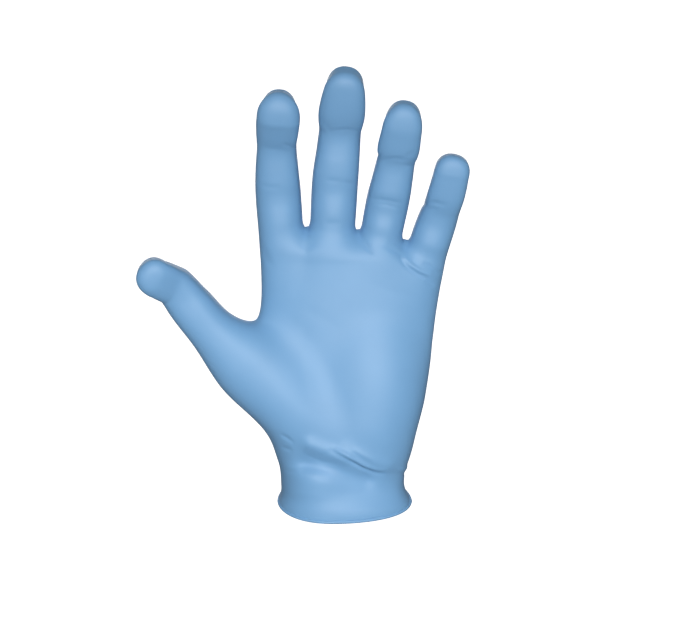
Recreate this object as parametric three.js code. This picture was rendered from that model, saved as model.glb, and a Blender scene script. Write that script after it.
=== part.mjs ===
// A nitrile examination glove in the shape it has on a spread left hand: one dipped film with five closed
// digits, a short cuff and a rolled bead round its open end. Millimetres. The origin is the middle of the
// cuff's opening, +Z runs up to the fingertips, -Y is the palm side and -X the thumb side.
import * as THREE from "three";

// The film and the bead that it is rolled into at the rim.
const FILM_WALL = 1.0;
const BEAD_DIAMETER = 2.6;

// The cuff, from its rim up to the crease of the wrist. The rim hangs lower at the palm side.
const CUFF_LENGTH = 25;
const CUFF_DIP = 5.5;
const WRIST_WIDTH = 65;
const WRIST_DEPTH = 45;

// The palm, from the crease of the wrist up to where the webs between the fingers begin.
const PALM_LENGTH = 102;
const PALM_WIDTH = 90;
const PALM_DEPTH = 31;
const WEB_HEIGHT = 14;
const WEB_SLOPE = 0.13;

// The heel of the hand on the little finger's side.
const HEEL_LENGTH = 62;
const HEEL_WIDTH = 40;
const HEEL_DEPTH = 30;
const HEEL_ACROSS = 0.18;
const HEEL_UP = 0.28;
const HEEL_FORWARD = 0.26;

// The digits. A length runs from the digit's root inside the palm to its tip, and a width and a depth are
// those of its first joint.
const THUMB_LENGTH = 131;
const THUMB_WIDTH = 22;
const THUMB_DEPTH = 19;
const INDEX_LENGTH = 113.6;
const INDEX_WIDTH = 22.6;
const INDEX_DEPTH = 19.5;
const MIDDLE_LENGTH = 122.6;
const MIDDLE_WIDTH = 23.2;
const MIDDLE_DEPTH = 20;
const RING_LENGTH = 109.6;
const RING_WIDTH = 21.6;
const RING_DEPTH = 19;
const LITTLE_LENGTH = 91;
const LITTLE_WIDTH = 20;
const LITTLE_DEPTH = 17.5;

// How the digits stand. A root is at a share of the palm's width and length, lean is the angle from +Z, curl
// is how far the tip comes forward as a share of the length, tip how long the rounded end is as a share of
// the width, and free the share of the length from which the digit stands clear of the hand.
const DIGITS = [
  {
    name: "thumb", length: THUMB_LENGTH, width: THUMB_WIDTH, depth: THUMB_DEPTH,
    rootAcross: -0.19, rootUp: 0.03, lean: -45, curl: 0.084, tip: 0.41, free: 0.6,
  },
  {
    name: "index", length: INDEX_LENGTH, width: INDEX_WIDTH, depth: INDEX_DEPTH,
    rootAcross: -0.345, rootUp: 0.75, lean: -1.5, curl: 0.079, tip: 0.55, free: 0.41,
  },
  {
    name: "middle", length: MIDDLE_LENGTH, width: MIDDLE_WIDTH, depth: MIDDLE_DEPTH,
    rootAcross: -0.103, rootUp: 0.775, lean: 4, curl: 0.073, tip: 0.49, free: 0.36,
  },
  {
    name: "ring", length: RING_LENGTH, width: RING_WIDTH, depth: RING_DEPTH,
    rootAcross: 0.136, rootUp: 0.75, lean: 9.2, curl: 0.091, tip: 0.57, free: 0.41,
  },
  {
    name: "little", length: LITTLE_LENGTH, width: LITTLE_WIDTH, depth: LITTLE_DEPTH,
    rootAcross: 0.37, rootUp: 0.68, lean: 13.5, curl: 0.088, tip: 0.44, free: 0.53,
  },
];
const DIGIT_ROUNDNESS = 2.15;

// How softly the pieces of the hand run into each other.
const FINGER_BLEND = 2;
const PALM_BLEND = 7;
const THUMB_BLEND = 15;
const HEEL_BLEND = 14;

// The facets: quads across one digit on the palm side and on the back, quads through its depth, rows of
// quads on the cuff, the palm and the knuckles, and the height of a row on a digit. The last rows of a digit
// are on its rounded end, at these angles from its widest row.
const COLUMNS = 4;
const SIDES = 3;
const CUFF_ROWS = 6;
const PALM_ROWS = 11;
const KNUCKLE_ROWS = 9;
const ROW_HEIGHT = 4.6;
const TIP_ANGLES = [27, 52];
const BEAD_FACETS = 7;

// How evenly the quads are spread, and how finely the film's surface is searched for.
const SMOOTHING_ROUNDS = 12;
const SMOOTHING = 0.55;
const LAST_ROUNDS = 3;
const LONGEST_SHIFT = 4;
const LEAST_SLOPE = 0.2;
const SLOPE_STEP = 0.05;
const SEARCH_STEPS = 60;
const SEARCH_PACE = 0.7;
const SEARCH_NEAR = 0.02;
const NEAR_MIDDLE = 1;
const MIDDLE_STEPS = 48;
const MIDDLE_STEP = 0.01;
const MIDDLE_ROUNDS = 4;
const TINY = 1e-9;

const FILM_BLUE = 0x6fa3d8;

// Sections of the cuff: at is a share of its length, left and right are shares of the wrist's width, and
// front and back are shares of the wrist's depth. skew is how far the section is pushed forward at the
// little finger's half and back at the thumb's half, as a share of the depth, and round how boxy it is.
const CUFF_SECTIONS = [
  { at: 0.0, left: -0.54, right: 0.535, front: -0.56, back: 0.5, skew: 0.08, round: 2.1 },
  { at: 0.2, left: -0.518, right: 0.505, front: -0.53, back: 0.49, skew: 0.08, round: 2.1 },
  { at: 0.4, left: -0.514, right: 0.475, front: -0.51, back: 0.48, skew: 0.07, round: 2.15 },
  { at: 0.75, left: -0.512, right: 0.472, front: -0.49, back: 0.47, skew: 0.06, round: 2.2 },
];

// Sections of the palm: at is a share of its length, left and right are shares of its width, and front, back
// and skew are shares of its depth.
const PALM_SECTIONS = [
  { at: 0.0, left: -0.37, right: 0.35, front: -0.7, back: 0.66, skew: 0.05, round: 2.3 },
  { at: 0.14, left: -0.39, right: 0.382, front: -0.76, back: 0.62, skew: 0, round: 2.4 },
  { at: 0.3, left: -0.43, right: 0.43, front: -0.68, back: 0.58, skew: 0, round: 2.5 },
  { at: 0.5, left: -0.455, right: 0.482, front: -0.56, back: 0.54, skew: 0, round: 2.6 },
  { at: 0.75, left: -0.46, right: 0.515, front: -0.52, back: 0.52, skew: 0, round: 2.6 },
  { at: 1.0, left: -0.43, right: 0.53, front: -0.46, back: 0.44, skew: 0, round: 2.5 },
];

// Sections of the digits: at is a share of the digit's length, side the shift off its axis as a share of
// its width, forward a share of its curl, and width and depth shares of its own width and depth.
const DIGIT_SECTIONS = {
  thumb: [
    { at: 0.0, side: 0.18, forward: 0.0, width: 1.22, depth: 1.4 },
    { at: 0.18, side: 0.34, forward: 0.5, width: 1.44, depth: 1.9 },
    { at: 0.42, side: 0.38, forward: 0.8, width: 1.58, depth: 1.55 },
    { at: 0.63, side: 0.44, forward: 0.9, width: 1.13, depth: 1.15 },
    { at: 0.76, side: 0.52, forward: 1.0, width: 1.02, depth: 1.0 },
    { at: 0.84, side: 0.56, forward: 1.05, width: 1.0, depth: 0.92 },
    { at: 0.93, side: 0.45, forward: 1.1, width: 0.86, depth: 0.78 },
  ],
  index: [
    { at: 0.0, side: 0.0, forward: 0.0, width: 0.95, depth: 1.05 },
    { at: 0.4, side: -0.04, forward: 0.05, width: 1.02, depth: 1.02 },
    { at: 0.54, side: -0.065, forward: 0.16, width: 1.02, depth: 0.97 },
    { at: 0.66, side: -0.065, forward: 0.3, width: 0.95, depth: 0.93 },
    { at: 0.77, side: -0.055, forward: 0.48, width: 0.91, depth: 0.84 },
    { at: 0.89, side: 0.015, forward: 0.78, width: 0.9, depth: 0.8 },
  ],
  middle: [
    { at: 0.0, side: 0.0, forward: 0.0, width: 0.95, depth: 1.05 },
    { at: 0.36, side: 0.0, forward: 0.05, width: 1.0, depth: 1.02 },
    { at: 0.53, side: -0.01, forward: 0.16, width: 1.01, depth: 0.97 },
    { at: 0.66, side: 0.012, forward: 0.3, width: 0.95, depth: 0.93 },
    { at: 0.78, side: 0.027, forward: 0.48, width: 0.92, depth: 0.84 },
    { at: 0.92, side: 0.06, forward: 0.78, width: 0.87, depth: 0.8 },
  ],
  ring: [
    { at: 0.0, side: 0.0, forward: 0.0, width: 0.95, depth: 1.05 },
    { at: 0.38, side: 0.0, forward: 0.05, width: 0.99, depth: 1.02 },
    { at: 0.52, side: 0.02, forward: 0.16, width: 1.01, depth: 0.97 },
    { at: 0.65, side: 0.04, forward: 0.3, width: 0.94, depth: 0.93 },
    { at: 0.76, side: 0.044, forward: 0.48, width: 0.91, depth: 0.84 },
    { at: 0.89, side: 0.045, forward: 0.78, width: 0.88, depth: 0.8 },
  ],
  little: [
    { at: 0.0, side: 0.0, forward: 0.0, width: 0.95, depth: 1.05 },
    { at: 0.45, side: 0.0, forward: 0.08, width: 1.03, depth: 1.02 },
    { at: 0.6, side: 0.045, forward: 0.2, width: 1.01, depth: 0.95 },
    { at: 0.74, side: 0.08, forward: 0.4, width: 0.92, depth: 0.86 },
    { at: 0.9, side: 0.07, forward: 0.8, width: 0.88, depth: 0.8 },
  ],
};

// Creases across the palm side of the digits: at is a share of the digit's length, deep the depth of the
// crease as a share of the digit's depth, and reach how far it runs out to each side as a share of its width.
const DIGIT_CREASES = {
  thumb: [{ at: 0.72, deep: 0.042, reach: 0.136 }],
  index: [
    { at: 0.55, deep: 0.046, reach: 0.133 },
    { at: 0.76, deep: 0.051, reach: 0.124 },
  ],
  middle: [
    { at: 0.54, deep: 0.045, reach: 0.129 },
    { at: 0.75, deep: 0.05, reach: 0.121 },
  ],
  ring: [
    { at: 0.53, deep: 0.047, reach: 0.139 },
    { at: 0.76, deep: 0.053, reach: 0.13 },
  ],
  little: [
    { at: 0.56, deep: 0.046, reach: 0.15 },
    { at: 0.76, deep: 0.051, reach: 0.13 },
  ],
};

// Folds and hollows of the palm side. Each runs from one place to another, given as shares of the palm's
// width and length. high is above the film for a ridge and below it for a hollow, as a share of the palm's
// depth, and reach is its spread as a share of the palm's width.
const PALM_FOLDS = [
  { fromAcross: -0.2, fromUp: 0.1, toAcross: 0.0, toUp: 0.03, high: 0.045, reach: 0.04 },
  { fromAcross: 0.0, fromUp: 0.03, toAcross: 0.22, toUp: -0.03, high: 0.065, reach: 0.04 },
  { fromAcross: 0.22, fromUp: -0.03, toAcross: 0.38, toUp: -0.03, high: 0.039, reach: 0.04 },
  { fromAcross: -0.22, fromUp: 0.0, toAcross: 0.12, toUp: -0.09, high: -0.042, reach: 0.05 },
  { fromAcross: 0.03, fromUp: 0.3, toAcross: -0.02, toUp: 0.74, high: -0.084, reach: 0.21 },
];

// The folds begin this far in front of the middle of the hand and are full from there on, as shares of the
// palm's depth.
const FOLDS_BEGIN = 0.065;
const FOLDS_FULL = 0.32;

// The height at which the rows of quads begin, in shares of the palm's length.
const RIM_UP = (-0.9 * CUFF_LENGTH) / PALM_LENGTH;

// Where the rows of quads run across the hand. at counts the gaps between digits from the thumb's outer
// edge (0) to the little finger's outer edge (5), and across and up are shares of the palm's size.
const SEAMS = {
  rim: [
    { at: 0, across: -0.364, up: RIM_UP },
    { at: 1, across: -0.273, up: RIM_UP },
    { at: 2, across: -0.101, up: RIM_UP },
    { at: 3, across: 0.101, up: RIM_UP },
    { at: 4, across: 0.273, up: RIM_UP },
    { at: 5, across: 0.366, up: RIM_UP },
  ],
  wrist: [
    { at: 0, across: -0.36, up: 0.07 },
    { at: 1, across: -0.27, up: 0.07 },
    { at: 2, across: -0.105, up: 0.07 },
    { at: 3, across: 0.095, up: 0.07 },
    { at: 4, across: 0.265, up: 0.07 },
    { at: 5, across: 0.36, up: 0.07 },
  ],
  thumb: [
    { at: 0, across: -0.77, up: 0.475 },
    { at: 1, across: -0.555, up: 0.625 },
    { at: 2, across: -0.25, up: 0.665 },
    { at: 3, across: 0.05, up: 0.685 },
    { at: 4, across: 0.32, up: 0.68 },
    { at: 5, across: 0.5, up: 0.66 },
  ],
  fingers: [
    { at: 1, across: -0.465, up: 1.1 },
    { at: 2, across: -0.211, up: 1.105 },
    { at: 3, across: 0.086, up: 1.085 },
    { at: 4, across: 0.343, up: 1.035 },
    { at: 5, across: 0.575, up: 1.05 },
  ],
};

// The crests of the webs between the digits, in the same shares.
const WEB_CRESTS = [
  { at: 1, across: -0.575, up: 0.7 },
  { at: 2, across: -0.211, up: 1.19 },
  { at: 3, across: 0.086, up: 1.17 },
  { at: 4, across: 0.343, up: 1.12 },
];

const BACKWARD = new THREE.Vector3(0, 1, 0);
const UPWARD = new THREE.Vector3(0, 0, 1);
const radians = THREE.MathUtils.degToRad;
const clamp = THREE.MathUtils.clamp;
const lerp = THREE.MathUtils.lerp;
const halfway = (from, to, share) => new THREE.Vector3().lerpVectors(from, to, share);
const palmX = (share) => share * PALM_WIDTH;
const palmZ = (share) => CUFF_LENGTH + share * PALM_LENGTH;

// The value of one column of a table at a place along it, on a smooth curve through the rows.
function smoothColumn(rows, column, at) {
  const last = rows.length - 1;
  const place = clamp(at, rows[0].at, rows[last].at);
  let row = 0;
  while (row < last - 1 && place > rows[row + 1].at) row += 1;
  const slopeAt = (i) => {
    const before = rows[Math.max(i - 1, 0)];
    const after = rows[Math.min(i + 1, last)];
    return (after[column] - before[column]) / (after.at - before.at);
  };
  const span = rows[row + 1].at - rows[row].at;
  const t = (place - rows[row].at) / span;
  const rise = rows[row + 1][column] - rows[row][column];
  const [a, b] = [slopeAt(row) * span, slopeAt(row + 1) * span];
  return rows[row][column] + t * (a + t * (3 * rise - 2 * a - b + t * (a + b - 2 * rise)));
}

// The distance of a point from a rounded form round an origin, where offsets and halves are given per axis.
function roundDistance(offsets, halves, roundness) {
  let sum = 0;
  let steep = 0;
  for (let i = 0; i < offsets.length; i += 1) {
    const share = Math.abs(offsets[i]) / halves[i];
    sum += share ** roundness;
    steep += (share ** (roundness - 1) / halves[i]) ** 2;
  }
  const size = Math.max(sum ** (1 / roundness), TINY);
  return ((size - 1) * size ** (roundness - 1)) / Math.max(Math.sqrt(steep), TINY);
}

// Joins two distances so that the forms run into each other softly.
function blend(first, second, softness) {
  const near = Math.max(softness - Math.abs(first - second), 0) / softness;
  return Math.min(first, second) - (near * near * softness) / 4;
}

// The sections of the cuff and the palm as one table by height.
const TRUNK = [
  ...CUFF_SECTIONS.map((row) => ({
    at: row.at * CUFF_LENGTH,
    left: row.left * WRIST_WIDTH,
    right: row.right * WRIST_WIDTH,
    front: row.front * WRIST_DEPTH,
    back: row.back * WRIST_DEPTH,
    skew: row.skew * WRIST_DEPTH,
    round: row.round,
  })),
  ...PALM_SECTIONS.map((row) => ({
    at: palmZ(row.at),
    left: row.left * PALM_WIDTH,
    right: row.right * PALM_WIDTH,
    front: row.front * PALM_DEPTH,
    back: row.back * PALM_DEPTH,
    skew: row.skew * PALM_DEPTH,
    round: row.round,
  })),
];

function trunkDistance(p) {
  const columns = ["left", "right", "front", "back", "skew", "round"];
  const [left, right, front, back, skew, round] = columns.map((name) => smoothColumn(TRUNK, name, p.z));
  const over = Math.max(p.z - palmZ(1) + WEB_SLOPE * p.x, 0);
  const across = p.x - (left + right) / 2;
  const share = clamp((2 * across) / (right - left), -1, 1);
  const offsets = [across, p.y - (front + back) / 2 + skew * share * (1 - share ** 2), over];
  return roundDistance(offsets, [(right - left) / 2, (back - front) / 2, WEB_HEIGHT], round);
}

function heelDistance(p) {
  const offsets = [
    p.x - palmX(HEEL_ACROSS),
    p.y + HEEL_FORWARD * PALM_DEPTH,
    p.z - palmZ(HEEL_UP),
  ];
  return roundDistance(offsets, [HEEL_WIDTH / 2, HEEL_DEPTH / 2, HEEL_LENGTH / 2], 2);
}

// The middle line of a digit, with the directions along, across and through it at each place.
function middleOf(digit, at) {
  const rows = DIGIT_SECTIONS[digit.name];
  const lean = radians(digit.lean);
  const along = new THREE.Vector3(Math.sin(lean), 0, Math.cos(lean));
  const across = new THREE.Vector3(Math.cos(lean), 0, -Math.sin(lean));
  return new THREE.Vector3(palmX(digit.rootAcross), 0, palmZ(digit.rootUp))
    .addScaledVector(along, at * digit.length)
    .addScaledVector(across, smoothColumn(rows, "side", at) * digit.width)
    .addScaledVector(BACKWARD, -smoothColumn(rows, "forward", at) * digit.curl * digit.length);
}

for (const digit of DIGITS) {
  digit.round = digit.tip * digit.width;
  digit.cap = 1 - digit.round / digit.length;
  digit.frames = [];
  for (let i = 0; i <= MIDDLE_STEPS; i += 1) {
    const at = (i / MIDDLE_STEPS) * digit.cap;
    const along = middleOf(digit, at + MIDDLE_STEP).sub(middleOf(digit, at - MIDDLE_STEP)).normalize();
    const across = new THREE.Vector3().crossVectors(BACKWARD, along).normalize();
    digit.frames.push({
      middle: middleOf(digit, at),
      along,
      across,
      through: new THREE.Vector3().crossVectors(along, across),
      halfWidth: (smoothColumn(DIGIT_SECTIONS[digit.name], "width", at) * digit.width) / 2,
      halfDepth: (smoothColumn(DIGIT_SECTIONS[digit.name], "depth", at) * digit.depth) / 2,
    });
  }
}

function frameAt(digit, at) {
  const place = clamp(at / digit.cap, 0, 1) * MIDDLE_STEPS;
  const step = Math.min(Math.floor(place), MIDDLE_STEPS - 1);
  const [from, to] = [digit.frames[step], digit.frames[step + 1]];
  const share = place - step;
  return {
    middle: halfway(from.middle, to.middle, share),
    along: halfway(from.along, to.along, share),
    across: halfway(from.across, to.across, share),
    through: halfway(from.through, to.through, share),
    halfWidth: lerp(from.halfWidth, to.halfWidth, share),
    halfDepth: lerp(from.halfDepth, to.halfDepth, share),
  };
}

function digitDistance(digit, p) {
  let at = digit.cap / 2;
  let frame = frameAt(digit, at);
  let over = 0;
  for (let i = 0; i < MIDDLE_ROUNDS; i += 1) {
    const ahead = p.clone().sub(frame.middle).dot(frame.along);
    const next = clamp(at + ahead / digit.length, 0, digit.cap);
    over = ahead - (next - at) * digit.length;
    at = next;
    frame = frameAt(digit, at);
  }
  const offset = p.clone().sub(frame.middle);
  const through = offset.dot(frame.through);
  const round = over > 0 ? digit.round : frame.halfWidth;
  const distance = roundDistance(
    [offset.dot(frame.across), through, over],
    [frame.halfWidth, frame.halfDepth, round],
    DIGIT_ROUNDNESS
  );
  const palmSide = clamp(-through / frame.halfDepth, 0, 1);
  const crease = DIGIT_CREASES[digit.name].reduce((sum, row) => {
    const away = ((at - row.at) * digit.length) / (row.reach * digit.width);
    return sum + row.deep * digit.depth * Math.exp(-away * away);
  }, 0);
  return distance + crease * palmSide;
}

// How far the palm side stands out of its smooth shape at a point, because of its folds.
function foldHeight(p) {
  const palmSide = clamp((-p.y / PALM_DEPTH - FOLDS_BEGIN) / (FOLDS_FULL - FOLDS_BEGIN), 0, 1);
  if (palmSide === 0) return 0;
  return PALM_FOLDS.reduce((sum, row) => {
    const [fromX, fromZ] = [palmX(row.fromAcross), palmZ(row.fromUp)];
    const [runX, runZ] = [palmX(row.toAcross) - fromX, palmZ(row.toUp) - fromZ];
    const share = clamp(((p.x - fromX) * runX + (p.z - fromZ) * runZ) / (runX ** 2 + runZ ** 2), 0, 1);
    const away = Math.hypot(p.x - fromX - share * runX, p.z - fromZ - share * runZ) / palmX(row.reach);
    return sum + palmSide * row.high * PALM_DEPTH * Math.exp(-away * away);
  }, 0);
}

// The distance of a point from the outer side of the film.
function filmDistance(p) {
  const [thumb, ...fingers] = DIGITS.map((digit) => digitDistance(digit, p));
  const spread = fingers.reduce((nearest, finger) => blend(nearest, finger, FINGER_BLEND));
  const palm = blend(trunkDistance(p), heelDistance(p), HEEL_BLEND);
  return blend(blend(palm, thumb, THUMB_BLEND), spread, PALM_BLEND) - foldHeight(p);
}

// The direction in which the distance grows, and how fast.
function filmSlope(p) {
  const slope = new THREE.Vector3();
  for (const axis of ["x", "y", "z"]) {
    const ahead = p.clone();
    const behind = p.clone();
    ahead[axis] += SLOPE_STEP;
    behind[axis] -= SLOPE_STEP;
    slope[axis] = (filmDistance(ahead) - filmDistance(behind)) / (2 * SLOPE_STEP);
  }
  return slope;
}

function ontoFilm(p) {
  const slope = filmSlope(p);
  const shift = filmDistance(p) / Math.max(slope.lengthSq(), LEAST_SLOPE);
  p.addScaledVector(slope, -clamp(shift, -LONGEST_SHIFT, LONGEST_SHIFT));
}

// The film's surface straight in front of (-1) or behind (+1) a place of the hand.
function surfaceY(x, z, side) {
  const p = new THREE.Vector3(x, side * WRIST_DEPTH, z);
  for (let i = 0; i < SEARCH_STEPS; i += 1) {
    const distance = filmDistance(p);
    if (distance < SEARCH_NEAR) return p.y;
    p.y -= side * distance * SEARCH_PACE;
    if (side * p.y < NEAR_MIDDLE) return side * NEAR_MIDDLE;
  }
  return p.y;
}

// The corner points and the quads of the film's outer side. Each row of points round the hand or a digit
// is kept as four runs: front and back from left to right, and right and left from front to back.
const points = [];
const homes = [];
const quads = [];

function addPoint(p) {
  points.push(p.clone());
  homes.push(p.clone());
  return points.length - 1;
}

const loopOf = (row) => [...row.front, ...row.right, ...row.back.toReversed(), ...row.left.toReversed()];

function skin(lower, upper) {
  const [below, above] = [loopOf(lower), loopOf(upper)];
  below.forEach((corner, i) => {
    const next = (i + 1) % below.length;
    quads.push([corner, below[next], above[next], above[i]]);
  });
}

function between(from, to) {
  const inner = [];
  for (let i = 1; i < SIDES; i += 1) inner.push(addPoint(halfway(homes[from], homes[to], i / SIDES)));
  return inner;
}

// A row of points across the hand, where placeAt gives x and z for each column.
function handRow(firstGap, lastGap, placeAt) {
  const row = { front: [], back: [] };
  for (let column = firstGap * COLUMNS; column <= lastGap * COLUMNS; column += 1) {
    const { x, z } = placeAt(column / COLUMNS);
    row.front.push(addPoint(new THREE.Vector3(x, surfaceY(x, z, -1), z)));
    row.back.push(addPoint(new THREE.Vector3(x, surfaceY(x, z, 1), z)));
  }
  row.right = between(row.front.at(-1), row.back.at(-1));
  row.left = between(row.front[0], row.back[0]);
  return row;
}

function seamPlace(name, at) {
  return {
    x: palmX(smoothColumn(SEAMS[name], "across", at)),
    z: palmZ(smoothColumn(SEAMS[name], "up", at)),
  };
}

function rowsBetween(row, lowerSeam, upperSeam, firstGap, lastGap, count) {
  let lower = row;
  for (let i = 1; i <= count; i += 1) {
    const upper = handRow(firstGap, lastGap, (at) => {
      const [from, to] = [seamPlace(lowerSeam, at), seamPlace(upperSeam, at)];
      return { x: lerp(from.x, to.x, i / count), z: lerp(from.z, to.z, i / count) };
    });
    skin(lower, upper);
    lower = upper;
  }
  return lower;
}

// Parts a row at a web: the crest of the web joins its front to its back and belongs to both halves.
function splitRow(row, column, crest) {
  const [front, back] = [homes[row.front[column]], homes[row.back[column]]];
  const web = [];
  for (let i = 1; i < SIDES; i += 1) {
    const y = lerp(front.y, back.y, i / SIDES);
    web.push(addPoint(new THREE.Vector3(palmX(crest.across), y, palmZ(crest.up))));
  }
  return [
    { front: row.front.slice(0, column + 1), back: row.back.slice(0, column + 1), left: row.left, right: web },
    { front: row.front.slice(column), back: row.back.slice(column), left: web, right: row.right },
  ];
}

// A row of points round a digit, drawn in by shrink and moved ahead where it lies on the rounded end.
function digitRow(digit, at, shrink = 1, ahead = 0) {
  const frame = frameAt(digit, at);
  const sideAngle = (Math.PI * SIDES) / (2 * COLUMNS + 2 * SIDES);
  const place = (angle) =>
    addPoint(
      frame.middle
        .clone()
        .addScaledVector(frame.across, Math.cos(angle) * frame.halfWidth * shrink)
        .addScaledVector(frame.through, Math.sin(angle) * frame.halfDepth * shrink)
        .addScaledVector(frame.along, ahead)
    );
  const run = (from, to, count, skipEnds) => {
    const inner = [];
    for (let i = skipEnds; i <= count - skipEnds; i += 1) inner.push(place(lerp(from, to, i / count)));
    return inner;
  };
  return {
    front: run(-Math.PI + sideAngle, -sideAngle, COLUMNS, 0),
    right: run(-sideAngle, sideAngle, SIDES, 1),
    back: run(Math.PI - sideAngle, sideAngle, COLUMNS, 0),
    left: run(-Math.PI + sideAngle, -Math.PI - sideAngle, SIDES, 1),
  };
}

function halfwayRow(lower, upper, share) {
  const mix = (run) => lower[run].map((id, i) => addPoint(halfway(homes[id], homes[upper[run][i]], share)));
  return { front: mix("front"), right: mix("right"), back: mix("back"), left: mix("left") };
}

// Closes a digit with a grid of quads inside its last row.
function closeTip(row, ahead) {
  const grid = [row.front];
  for (let j = 1; j < SIDES; j += 1) {
    const [left, right] = [row.left[j - 1], row.right[j - 1]];
    const line = [left];
    for (let i = 1; i < COLUMNS; i += 1) {
      const across = halfway(homes[left], homes[right], i / COLUMNS);
      const through = halfway(homes[row.front[i]], homes[row.back[i]], j / SIDES);
      line.push(addPoint(halfway(across, through, 0.5).add(ahead)));
    }
    grid.push([...line, right]);
  }
  grid.push(row.back);
  for (let j = 0; j < SIDES; j += 1) {
    for (let i = 0; i < COLUMNS; i += 1) {
      quads.push([grid[j][i], grid[j][i + 1], grid[j + 1][i + 1], grid[j + 1][i]]);
    }
  }
}

function buildDigit(digit, start) {
  const creases = DIGIT_CREASES[digit.name].map((crease) => crease.at);
  const stops = [digit.free, ...creases, digit.cap];
  const first = digitRow(digit, digit.free);
  const middleRow = halfwayRow(start, first, 0.5);
  skin(start, middleRow);
  skin(middleRow, first);
  let lower = first;
  for (let stop = 1; stop < stops.length; stop += 1) {
    const count = Math.max(1, Math.round(((stops[stop] - stops[stop - 1]) * digit.length) / ROW_HEIGHT));
    for (let i = 1; i <= count; i += 1) {
      const upper = digitRow(digit, lerp(stops[stop - 1], stops[stop], i / count));
      skin(lower, upper);
      lower = upper;
    }
  }
  for (const angle of TIP_ANGLES.map(radians)) {
    const upper = digitRow(digit, digit.cap, Math.cos(angle), digit.round * Math.sin(angle));
    skin(lower, upper);
    lower = upper;
  }
  const left = digit.round * (1 - Math.sin(radians(TIP_ANGLES.at(-1))));
  closeTip(lower, frameAt(digit, digit.cap).along.multiplyScalar(left));
}

// The outer side of the film, row by row from the rim to the fingertips.
const beadRadius = BEAD_DIAMETER / 2;
const beadRise = beadRadius + Math.sqrt(beadRadius ** 2 - (FILM_WALL / 2) ** 2);
const rimZ = (y) => beadRise + (CUFF_DIP * y) / (WRIST_DEPTH / 2);
const rim = handRow(0, 5, (at) => seamPlace("rim", at));
const wrist = rowsBetween(rim, "rim", "wrist", 0, 5, CUFF_ROWS);
const thumbSeam = rowsBetween(wrist, "wrist", "thumb", 0, 5, PALM_ROWS);
const [thumbStart, palmStart] = splitRow(thumbSeam, COLUMNS, WEB_CRESTS[0]);
const fingerSeam = rowsBetween(palmStart, "thumb", "fingers", 1, 5, KNUCKLE_ROWS);
const starts = [thumbStart];
let rest = fingerSeam;
for (const crest of WEB_CRESTS.slice(1)) {
  const [start, others] = splitRow(rest, COLUMNS, crest);
  starts.push(start);
  rest = others;
}
starts.push(rest);
DIGITS.forEach((digit, i) => buildDigit(digit, starts[i]));

// Evens out the quads and keeps every corner on the film. The rim keeps its own height.
const rimLoop = loopOf(rim);
const onRim = new Set(rimLoop);
const neighbours = points.map(() => new Set());
for (const quad of quads) {
  quad.forEach((corner, i) => {
    const next = quad[(i + 1) % 4];
    neighbours[corner].add(next);
    neighbours[next].add(corner);
  });
}
for (let round = 0; round < SMOOTHING_ROUNDS; round += 1) {
  const middles = points.map((p, i) => {
    const middle = new THREE.Vector3();
    for (const other of neighbours[i]) middle.add(points[other]);
    return middle.divideScalar(neighbours[i].size);
  });
  points.forEach((p, i) => {
    if (!onRim.has(i)) p.lerpVectors(homes[i], middles[i], SMOOTHING);
    ontoFilm(p);
    if (onRim.has(i)) p.z = rimZ(p.y);
  });
}
for (let round = 0; round < LAST_ROUNDS; round += 1) {
  points.forEach((p, i) => {
    ontoFilm(p);
    if (onRim.has(i)) p.z = rimZ(p.y);
  });
}

// The inner side of the film lies one wall inside the outer side.
const outward = points.map((p) => filmSlope(p).normalize());
const corners = [...points, ...points.map((p, i) => p.clone().addScaledVector(outward[i], -FILM_WALL))];
const triangles = [];

function addQuad([a, b, c, d]) {
  if (corners[a].distanceTo(corners[c]) < corners[b].distanceTo(corners[d])) {
    triangles.push(a, b, c, a, c, d);
  } else {
    triangles.push(a, b, d, b, c, d);
  }
}

const innerOf = (id) => id + points.length;
for (const quad of quads) {
  const first = triangles.length;
  addQuad(quad);
  const outer = triangles.slice(first);
  for (let i = 0; i < outer.length; i += 3) {
    triangles.push(innerOf(outer[i]), innerOf(outer[i + 2]), innerOf(outer[i + 1]));
  }
}

// The bead: the film rolled into a small tube that hangs from the rim, from its outer to its inner side.
const beadStart = Math.acos(FILM_WALL / BEAD_DIAMETER);
const beadSweep = Math.PI + 2 * beadStart;
const beadLoops = [rimLoop];
for (let step = 1; step < BEAD_FACETS; step += 1) {
  const angle = beadStart - (beadSweep * step) / BEAD_FACETS;
  beadLoops.push(
    rimLoop.map((id) => {
      const out = outward[id];
      const up = UPWARD.clone().addScaledVector(out, -out.z).normalize();
      const middle = points[id]
        .clone()
        .addScaledVector(out, -FILM_WALL / 2)
        .addScaledVector(up, beadRadius - beadRise);
      middle.addScaledVector(out, beadRadius * Math.cos(angle));
      corners.push(middle.addScaledVector(up, beadRadius * Math.sin(angle)));
      return corners.length - 1;
    })
  );
}
beadLoops.push(rimLoop.map(innerOf));
for (let step = 0; step < BEAD_FACETS; step += 1) {
  const [above, below] = [beadLoops[step], beadLoops[step + 1]];
  above.forEach((corner, i) => {
    const next = (i + 1) % above.length;
    addQuad([below[i], below[next], above[next], corner]);
  });
}

const geometry = new THREE.BufferGeometry();
const coordinates = corners.flatMap((p) => p.toArray());
geometry.setAttribute("position", new THREE.Float32BufferAttribute(coordinates, 3));
geometry.setIndex(triangles);
geometry.computeVertexNormals();

const film = new THREE.MeshStandardMaterial({ name: "nitrile", color: FILM_BLUE, roughness: 0.5 });
const glove = new THREE.Mesh(geometry, film);
glove.name = "glove";

const group = new THREE.Group();
group.name = "nitrile_exam_glove";
group.add(glove);
export default group;
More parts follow.
